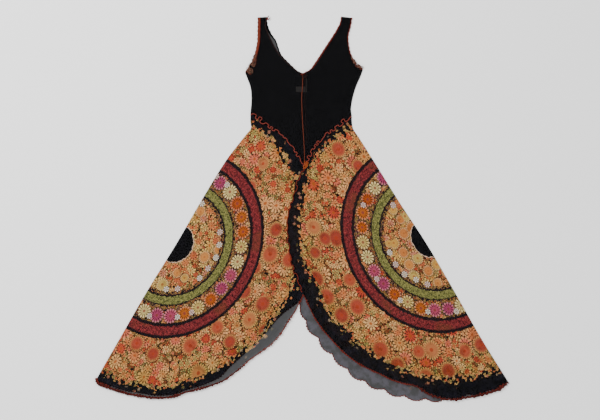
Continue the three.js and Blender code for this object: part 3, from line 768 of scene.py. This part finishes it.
def skirt(half, cols=300, fold_cols=7):
    s = half["sign"]
    v = SKIRT_V
    fold_full = smooth_line(half["fold"])
    fold_len = length_of(fold_full)
    outline = resample(fold_full, v * (1 - 3.5 / fold_len))
    outward = sideways(outline) * s
    lift = HEM_LIFT * ease((v - 0.78) / 0.15)
    radius = (FRONT_Z - BACK_Z + lift) / 2
    fold = outline - outward * (radius + 0.2)[:, None]
    centre = np.array(half["medallion"], float)
    down = np.array(half["fold"][-1], float) - np.array(half["fold"][5], float)
    down /= np.linalg.norm(down)
    across = np.array([-down[1], down[0]])
    if across[0] * s > 0:
        across = -across
    fold_at = float(np.dot(np.array(half["fold"][6], float) - centre, across))
    u = np.linspace(0, 1, cols)
    sheets = {}
    for layer, seam_rows, short in (("front", SKIRT_SEAM_FRONT, 11.0), ("back", SKIRT_SEAM_BACK, 9.0)):
        on_top = layer == "front"
        seam = smooth_line(seam_rows)
        seam = resample(seam, v * (1 - short / length_of(seam)))
        hem = smooth_line(half["hem_" + layer])
        hem = hem + sideways(hem) * (-s * HEM_BACK)
        hem = resample(hem, np.linspace(0, 1, 240))
        hem[0], hem[-1] = fold[-1], seam[-1]
        top = resample(smooth_line(half["waist"]), np.linspace(0, 1, 80))
        top[0] = fold[0]
        grid = fill_grid(top, hem, fold, seam, u, v)
        gap_to_hem = (1 - v)[:, None] * np.linspace(fold_len, length_of(seam), cols)[None, :]
        fade = np.exp(-gap_to_hem / 13.0) * fade_ends(u)[None, :]
        beat, rise = wave(u, length_of(hem) / (19.0 if on_top else 23.0), half["seed"] + (0 if on_top else 4))
        out = sideways(resample(hem, u)) * s
        scallop = np.zeros(cols)
        if s > 0 and not on_top:
            scallop = 12.0 * (np.abs(np.sin(u * math.pi * 12)) - 0.5) * fade_ends(u, 0.05)
        wide = np.exp(-gap_to_hem / 30.0)
        reach = (5.5 if on_top else 3.0) * (0.45 - np.abs(beat))[None, :] * fade + scallop[None, :] * wide
        shown = grid + out[None] * reach[..., None]
        if on_top:
            z = FRONT_Z + lift[:, None] + crease_height(grid) * ease(u / 0.08)[None, :]
            z = z + 0.45 * (1 + soft_noise(grid, 46.0, 1.0)) * ease(u / 0.05)[None, :]
            z = z + 3.4 * rise[None, :] * fade
        else:
            z = BACK_Z + 0.16 * soft_noise(grid, 40.0, 7.0) + 1.7 * rise[None, :] * fade
        sheets[layer] = (shown, z, grid)
    front, back = sheets["front"], sheets["back"]
    arcs = np.radians(np.linspace(0, 180, fold_cols + 2)[1:-1])
    bend_xy = fold[:, None] + outward[:, None] * (radius[:, None] * np.sin(arcs))[..., None]
    bend_z = BACK_Z + radius[:, None] * (1 + np.cos(arcs))[None, :]
    xy = np.concatenate([front[0][:, ::-1], bend_xy, back[0]], axis=1)
    z = np.concatenate([front[1][:, ::-1], bend_z, back[1]], axis=1)

    def cut_map(grid, flip):
        rel = grid - centre
        a = (rel @ across - fold_at) * flip
        return np.stack([a + fold_at, rel @ down], axis=-1) * 0.001

    uv_front = cut_map(front[2][:, ::-1], 1)
    uv_back = cut_map(back[2], -1)
    uv_bend = uv_front[:, -1:, :] + (uv_back[:, :1, :] - uv_front[:, -1:, :]) * (arcs / math.pi)[None, :, None]
    uv = np.concatenate([uv_front, uv_bend, uv_back], axis=1)
    pts = np.dstack([xy, z])
    faces = grid_faces(*pts.shape[:2])[:, ::(-1 if s < 0 else 1)]
    obj = make_object(f"skirt_{half['name']}_cloth", pts, faces, print_material(half), uvs=uv)
    span = np.ptp(uv.reshape(-1, 2), axis=0)
    return obj, pts, front, back, span


def edge_band(points, out_sign, reach, width, thick, waves, seed, sway, rise, trim=(0.0, 1.0), slim=0.35):
    """A thread-bound wavy edge that runs along a cloth's border."""
    shares = np.linspace(trim[0], trim[1], max(60, int(waves * 12)))
    reach, width = [np.interp(shares, *k) if isinstance(k, tuple) else k for k in (reach, width)]
    line = resample(points, shares)
    out = sideways(line) * out_sign
    beat, lift = wave(shares, waves, seed)
    fade = fade_ends((shares - trim[0]) / (trim[1] - trim[0]))
    path = line.copy()
    path[:, :2] += out * (reach + sway * beat * fade)[:, None]
    path[:, 2] += rise * lift * fade
    return sweep(path, width * (1 - slim * 0.5 * (1 - np.abs(beat))), thick)


def stands_for(obj, slot_name, *nodes):
    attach(obj, "root")
    if nodes:
        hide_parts(*nodes)
    return obj


def thread_piece(name, parts, material, *nodes):
    return stands_for(band_object(name, parts, material), "rust_thread", *nodes)


def ruffle(name, path, foot):
    """The ruffled strip of cloth between a seam and its thread-bound edge."""
    pts = np.stack([foot * (1 - k) + path * k for k in (0.0, 0.35, 0.7, 1.0)])
    strip = make_object(name, pts, grid_faces(*pts.shape[:2]), BLACK, uvs=pts[..., :2] * 0.001)
    return stands_for(strip, "black_mesh")


# Floor
bpy.ops.mesh.primitive_plane_add(size=14.0, location=(0, 0, 0))
floor = bpy.context.object
floor.name = "floor"
floor_mat, _, floor_shader = new_material("pale_floor")
set_values(floor_shader, {"Base Color": (0.93, 0.93, 0.93, 1), "Roughness": 0.9, "Specular IOR Level": 0.0})
floor.data.materials.append(floor_mat)

# Length and sideways reach of the small waves along each hem
HEM_FRILLS = {("front", "left"): (9.0, 1.6), ("back", "left"): (11.0, 1.0),
              ("front", "right"): (11.0, 0.9), ("back", "right"): (11.0, 1.0)}
# Reach and width, by share of its length, of the neck edge that is turned under at the left strap
TURNED_UNDER = (([0, 0.16, 0.30, 0.4, 1], [-4.2, -3.4, -1.2, -0.6, 0.4]),
                ([0, 0.16, 0.30, 0.4, 1], [14.0, 11.0, 6.4, 5.2, 3.8]))
# How far along the front hem the crowded frill runs, and its width at either end
HEM_CROWD = {"left": (0.62, [12.0, 4.5]), "right": (0.41, [12.5, 5.0])}
cloths, trims = {}, {}
for half in (LEFT, RIGHT):
    s, name = half["sign"], half["name"]
    for layer in ("back", "front"):
        obj, pts, corner = bodice(half, layer)
        stands_for(obj, "black_mesh", f"{layer}_bodice_{name}")
        lift = 1.0 if layer == "front" else 0.0
        arm = pts[:corner, 0]
        neck = pts[:corner, -1]
        arm_len, neck_len = length_of(arm), length_of(neck)
        raised = np.array([0.0, 0.0, 0.2 if layer == "front" else 0.4])
        arm_parts = [edge_band(arm + raised, s, 0.9, 3.6, 1.3, arm_len / 15.0, half["seed"] + 20, 0.9, 1.8 * lift)]
        extra = []
        if (layer, name) == ("front", "left"):
            # The binding lies flat and wide down this side, to the underarm
            flat_waves = (1.2, arm_len / 24.0, 61.0, 0.4, 0.4)
            arm_parts.append(edge_band(arm + (0, 0, 1.5), s, -6.6, 2.4, *flat_waves, (0.012, 0.76)))
            extra.append(thread_piece("armhole_left_binding", [
                edge_band(arm + (0, 0, 1.2), s, -2.9, 5.2, *flat_waves, (0.012, 0.78))], BRICK))
        arm_band = thread_piece(f"armhole_{layer}_{name}_thread", arm_parts, RUST, f"armhole_edge_{layer}_{name}")
        turned_under = (layer, name) == ("back", "left")
        reach, width = TURNED_UNDER if turned_under else (1.0, 4.4 if name == "left" else 2.8)
        neck_band = thread_piece(f"neck_{layer}_{name}_thread", [
            edge_band(neck + raised, -s, reach, width, 1.1, neck_len / 17.0, half["seed"] + 30, 0.7, 1.2 * lift)],
            BLACK if turned_under else DUSK if name == "left" else RUST, f"neck_edge_{layer}_{name}")
        cloths[layer, name] = (obj, pts)
        trims[layer, name] = [arm_band, neck_band] + extra

    obj, pts, front, back, span = skirt(half)
    stands_for(obj, "printed_mesh", f"skirt_{name}")
    bands = []
    for layer, sheet, width in (("front", front, 3.4), ("back", back, 3.2)):
        rim = np.column_stack([sheet[0][-1], sheet[1][-1]])[1:-1]
        pitch, sway = HEM_FRILLS[layer, name]
        bands.append(thread_piece(f"hem_{layer}_{name}_thread", [
            edge_band(rim + (0, 0, 0.0 if layer == "front" else 0.3), s, 0.9, width, 1.5, length_of(rim) / pitch,
                      half["seed"] + 80, sway, 0.7)], RUST, f"hem_frill_{layer}_{name}"))
        if layer == "front":
            # The frill crowds together from the corner inwards
            end, widths = HEM_CROWD[name]
            bands.append(thread_piece(f"hem_{name}_frill", [
                edge_band(rim + (0, 0, 1.0), s, ([0, end], [1.6, 0.4]), ([0, end], widths), 1.8,
                          length_of(rim) * end / 8.5, half["seed"] + 90, 1.7, 1.2, (0.004, end), 0.8)], FRILL))
    cloths["skirt", name] = (obj, pts, front, back, span)
    trims["skirt", name] = bands


WAVE_POINTS = 18


def meander(rows, beats, sways, rise, base, start, end, seed, inset=0.0, loop=-0.2):
    """A looping wavy line along a seam, with the seam line beside it.

    beats is a table of (share, waves so far); sways is the sideways reach at even shares.
    """
    line = smooth_line(rows)
    count = beats[-1][1]
    n = int(count * WAVE_POINTS)
    t = np.linspace(0, 1, n)
    shares = start + (end - start) * t
    p = resample(line, shares)
    out = sideways(resample(line, np.linspace(start, end, n)))
    p = p + out * np.broadcast_to(inset, n)[:, None]
    forward = np.stack([out[:, 1], -out[:, 0]], axis=1)
    size = drifting(t, 9.0, seed, 2.0) * 1.3 + 0.95
    shift = drifting(t, 6.0, seed, 7.0) * 0.9
    so_far = np.interp(t, *zip(*beats))
    phase = 2 * math.pi * (so_far + shift)
    sway = np.interp(t, np.linspace(0, 1, len(sways)), sways)
    fade = fade_ends(t, 0.02)
    pitch = length_of(line) * (end - start) * np.gradient(t) / np.maximum(np.gradient(so_far), 1e-6)
    xy = p + out * (sway * np.sin(phase) * size * fade)[:, None]
    xy = xy + forward * (pitch * loop * np.sin(2 * phase) * 0.5 * fade)[:, None]
    z = base + rise * (0.5 + 0.5 * np.cos(phase)) * size
    return np.column_stack([xy, z]), np.column_stack([p, np.full(n, base - 0.35)])


WAIST_WAVES = {"left": ([(0, 0), (0.4, 4), (1, 10.5)], [6.5, 7.5, 6.5, 4.0, 2.2, 2.0, 2.4, 3.0, 4.5]),
               "right": ([(0, 0), (0.25, 1.6), (1, 9)], [9.0, 8.0, 5.0, 4.4, 5.0, 3.6, 4.0, 4.6, 5.5])}
UNDERARM = {"left": ([(0, 0), (1, 5.5)], [2.5, 7.0, 11.0, 14.0, 13.0], 0.64, 14.0),
            "right": ([(0, 0), (1, 5)], [1.5, 4.0, 5.0, 6.0, 5.0], 0.70, -1.0)}

for half in (LEFT, RIGHT):
    name = half["name"]
    beats, sways = WAIST_WAVES[name]
    path, foot = meander(half["waist"], beats, sways, 2.6, 4.0, 0.01, 0.975, half["seed"] + 50)
    trims["skirt", name] += [thread_piece(f"waist_{name}_thread", [sweep(path, 3.3, 1.7)], ROSE, f"waist_frill_{name}"),
                             ruffle(f"waist_{name}_ruffle", path, foot)]

    # The armhole's frill bunches up at the underarm, in two overlapping lines
    beats, sways, start, inset = UNDERARM[name]
    for k, (kind, stretch, width, material) in enumerate((("thread", 1.0, 2.8, UMBER),
                                                          ("edge", 0.72, 1.9, STRAW_THREAD))):
        waves = [(share, so_far * (1 + 0.3 * k)) for share, so_far in beats]
        insets = np.linspace(4.0, inset, int(waves[-1][1] * WAVE_POINTS)) * -half["sign"]
        path, foot = meander(half["armhole"], waves, np.array(sways) * stretch, 2.4, 3.4 + 0.9 * k, start, 0.985,
                             half["seed"] + 60 + 7 * k, insets, -0.3 - 0.25 * k)
        if kind == "thread":
            trims["front", name].append(ruffle(f"underarm_{name}_ruffle", path, foot))
        trims["front", name].append(
            thread_piece(f"underarm_{name}_{kind}", [sweep(path, width, 1.4)], material))

path, foot = meander(SKIRT_SEAM_FRONT, [(0, 0), (1, 13)], [5.0, 4.2, 2.2, 1.4, 1.6, 1.8, 3.0, 4.4, 3.4], 2.4, 6.2,
                     0.0, 0.965, 71.0)
seam_lift = HEM_LIFT * ease((np.linspace(0.02, 0.965, len(path)) - 0.7) / 0.2)
path[:, 2] += seam_lift - 2.2
foot[:, 2] += seam_lift - 2.4
trims["skirt", "left"] += [thread_piece("skirt_seam_thread", [sweep(path, 3.0, 1.5)], RUST, "skirt_seam_frill"),
                           ruffle("skirt_seam_ruffle", path, foot)]

# Flat overlocked seam down the front of the bodice
line = resample(smooth_line(BODICE_SEAM), np.linspace(0.015, 0.985, 160))
z = FRONT_Z + crease_height(line) + 1.6
wiggle = np.sin(np.linspace(0, 1, 160) * 2 * math.pi * 22) * 0.35
seam_path = np.column_stack([line[:, 0] + wiggle, line[:, 1], z])
trims["front", "left"] += [thread_piece("bodice_seam_thread", [sweep(seam_path, 2.0, 0.9)], BRICK),
                           thread_piece("bodice_seam_edge", [
                               sweep(seam_path[:120] + (11.5, 0, -0.2), 1.4, 0.8)], DUSK)]


# Loose thread ends
def curl(origin, size, turns, seed, thick):
    rnd = random.Random(seed)
    round_once = 6.28
    t = np.linspace(0, 1, 60)
    a0, a1, a2 = (rnd.uniform(0, round_once) for _ in range(3))
    x = origin[0] + size * (0.55 * np.sin(turns * round_once * t + a0) + 0.4 * np.sin(3.1 * t * 3 + a1))
    y = origin[1] + size * (0.55 * np.cos(turns * round_once * t * 0.8 + a1) + 0.4 * np.sin(2.3 * t * 3 + a2))
    z = origin[2] + 1.1 * (1 + np.sin(round_once * t * 1.3 + a2))
    return sweep(np.column_stack([x, y, z]), thick, thick, sides=6)


# Place, size, turns, seed and thickness of each loose end
LOOSE_ENDS = [((-122, 685, 6.6), 7.0, 1.9, 7, 2.8), ((178, 684, 4.6), 3.0, 1.0, 15, 2.0),
              ((-738, -616, 3.6), 6.5, 1.1, 21, 4.4), ((742, -628, 2.6), 3.6, 1.0, 22, 2.4),
              ((6, 484, 6.4), 4.2, 1.1, 9, 1.8), ((-1, 482, 6.0), 4.0, 0.9, 12, 1.8)]

thread_piece("waist_point_thread", [curl((11 + k % 2 * 5, 165 - k * 4.0, 4.8), 7.0, 1.0 + 0.15 * k, 40 + k, 2.3)
                                    for k in range(5)], ORANGE)
thread_piece("edge_thread_ends", [curl(*end) for end in LOOSE_ENDS], RUST)
# Crowded stitches where the neck comes to its point
thread_piece("neck_point_thread", [curl((4 + k % 3 * 6, 484 - k * 3.2, 5.0), 6.5, 1.1 + 0.1 * k, 60 + k, 2.2)
                                   for k in range(5)], DUSK)


# Labels
def label(name, x, y, w, h, z, curl_up, material, node, slot_name):
    """A small woven label: a fine grid, its corners lifted a little, then given its thickness."""
    bpy.ops.object.select_all(action="DESELECT")
    centre = ((x + SHIFT[0]) * 0.001, (y + SHIFT[1]) * 0.001, z * 0.001)
    bpy.ops.mesh.primitive_grid_add(x_subdivisions=12, y_subdivisions=12, size=0.001, location=centre)
    obj = bpy.context.object
    obj.name = obj.data.name = name
    bpy.ops.object.mode_set(mode="EDIT")
    bpy.ops.mesh.select_all(action="SELECT")
    bpy.ops.transform.resize(value=(w, h, 1.0), center_override=centre)
    bpy.ops.object.mode_set(mode="OBJECT")
    for point in obj.data.vertices:
        across, up = point.co.x / (w * 0.0005), point.co.y / (h * 0.0005)
        point.co.z += curl_up * 0.001 * (across * up) ** 2 + 0.00012 * math.sin(across * 4 + up * 3)
    for kind, values in (("SOLIDIFY", {"thickness": 0.00045, "offset": 1.0}),
                         ("BEVEL", {"width": 0.00012, "segments": 2, "limit_method": "ANGLE"})):
        modifier = obj.modifiers.new(kind.lower(), kind)
        for key, value in values.items():
            setattr(modifier, key, value)
        bpy.ops.object.modifier_apply(modifier=modifier.name)
    bpy.ops.object.transform_apply(location=True, rotation=True, scale=True)
    bpy.ops.object.shade_smooth_by_angle(angle=math.radians(40))
    obj.data.materials.append(material)
    return stands_for(obj, slot_name, node)


label("neck_label_pale", -2, 444.5, 40, 51, 1.4, 0.3, PALE_LABEL, "label_pale", "pale_label")
label("neck_label_dark", -6, 456, 40, 34, 2.5, 0.25, DARK_LABEL, "label_dark", "dark_label")

# Goes through the cloths and their points, but does nothing with them
for (kind, name), made in cloths.items():
    obj = made[0]
    if kind == "skirt":
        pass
    else:
        pts = made[1]

# Light and camera
world = bpy.data.worlds.new("studio")
bpy.context.scene.world = world
world.use_nodes = True
set_values(world.node_tree.nodes["Background"], {"Color": (1, 1, 1, 1), "Strength": 1.35})

key = bpy.data.lights.new("key", "AREA")
key.shape = "DISK"
key.size = 1.6
key.energy = 170
lamp = bpy.data.objects.new("key", key)
lamp.location = (-2.2, 1.8, 3.2)
lamp.rotation_euler = (-lamp.location).to_track_quat("-Z", "Y").to_euler()
bpy.context.scene.collection.objects.link(lamp)

camera = bpy.data.cameras.new("camera")
camera.lens = 70.0
camera.sensor_width = 36.0
camera.clip_end = 50.0
eye = bpy.data.objects.new("camera", camera)
eye.location = (-0.0065, -0.0018, 4.2)
bpy.context.scene.collection.objects.link(eye)
bpy.context.scene.camera = eye
